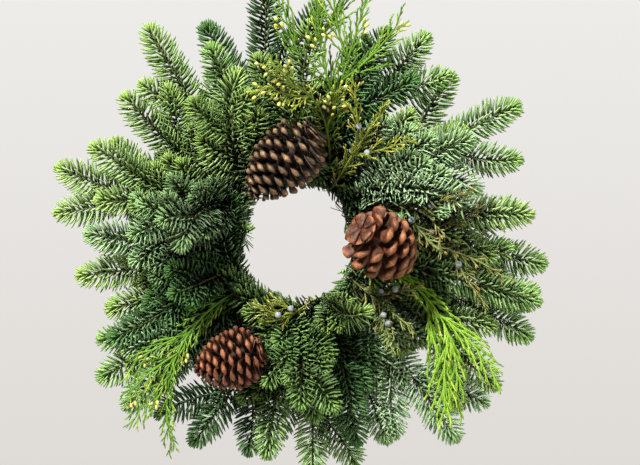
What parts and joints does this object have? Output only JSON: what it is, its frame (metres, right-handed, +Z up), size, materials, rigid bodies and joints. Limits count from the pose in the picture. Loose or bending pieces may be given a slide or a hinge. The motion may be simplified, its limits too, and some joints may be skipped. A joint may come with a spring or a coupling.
{
  "type": "christmas wreath",
  "caption": "Round hanging wreath of fresh fir, cedar and berried juniper bound to a wire ring, with pine cones wired on in front.",
  "frame": {"origin": "the point under the top of the wire ring where a nail or hook bears", "axes": "+X to the right, +Y back towards the wall, +Z up; the front faces -Y"},
  "size_m": [0.5828, 0.1464, 0.5908],
  "materials": {
    "ring_wire": "dark green enamel, satin",
    "fine_wire": "dark green florist's wire, satin",
    "cone_scales": "dry woody scales, dark brown with paler ends",
    "fir_foliage": "fresh needles from bright green to blue green, slightly waxy",
    "cedar_foliage": "flat scale-leaved sprays, bright yellow green",
    "juniper_foliage": "fine olive scale leaves with pale blue bloomed berries"
  },
  "bodies": {
    "root": {"binding_wire": "fine_wire", "cedar_spray_01": "cedar_foliage", "cedar_spray_02": "cedar_foliage", "cedar_spray_03": "cedar_foliage", "cedar_spray_04": "cedar_foliage", "cedar_spray_05": "cedar_foliage", "cone_pick_1": "fine_wire", "cone_pick_2": "fine_wire", "cone_pick_3": "fine_wire", "fir_spray_01": "fir_foliage", "fir_spray_02": "fir_foliage", "fir_spray_03": "fir_foliage", "fir_spray_04": "fir_foliage", "fir_spray_05": "fir_foliage", "fir_spray_06": "fir_foliage", "fir_spray_07": "fir_foliage", "fir_spray_08": "fir_foliage", "fir_spray_09": "fir_foliage", "fir_spray_10": "fir_foliage", "fir_spray_11": "fir_foliage", "fir_spray_12": "fir_foliage", "fir_spray_13": "fir_foliage", "fir_spray_14": "fir_foliage", "fir_spray_15": "fir_foliage", "fir_spray_16": "fir_foliage", "fir_spray_17": "fir_foliage", "fir_spray_18": "fir_foliage", "fir_spray_19": "fir_foliage", "fir_spray_20": "fir_foliage", "fir_spray_21": "fir_foliage", "fir_spray_22": "fir_foliage", "fir_spray_23": "fir_foliage", "fir_spray_24": "fir_foliage", "fir_spray_25": "fir_foliage", "fir_spray_26": "fir_foliage", "fir_spray_27": "fir_foliage", "fir_spray_28": "fir_foliage", "fir_spray_29": "fir_foliage", "fir_spray_30": "fir_foliage", "fir_spray_31": "fir_foliage", "fir_spray_32": "fir_foliage", "fir_spray_33": "fir_foliage", "fir_spray_34": "fir_foliage", "fir_spray_35": "fir_foliage", "fir_spray_36": "fir_foliage", "fir_spray_37": "fir_foliage", "fir_spray_38": "fir_foliage", "fir_spray_39": "fir_foliage", "fir_spray_40": "fir_foliage", "fir_spray_41": "fir_foliage", "juniper_sprig_01": "juniper_foliage", "juniper_sprig_02": "juniper_foliage", "juniper_sprig_03": "juniper_foliage", "juniper_sprig_04": "juniper_foliage", "juniper_sprig_05": "juniper_foliage", "pine_cone_1": "cone_scales", "pine_cone_2": "cone_scales", "pine_cone_3": "cone_scales", "wire_ring": "ring_wire"}
  },
  "joints": []
}
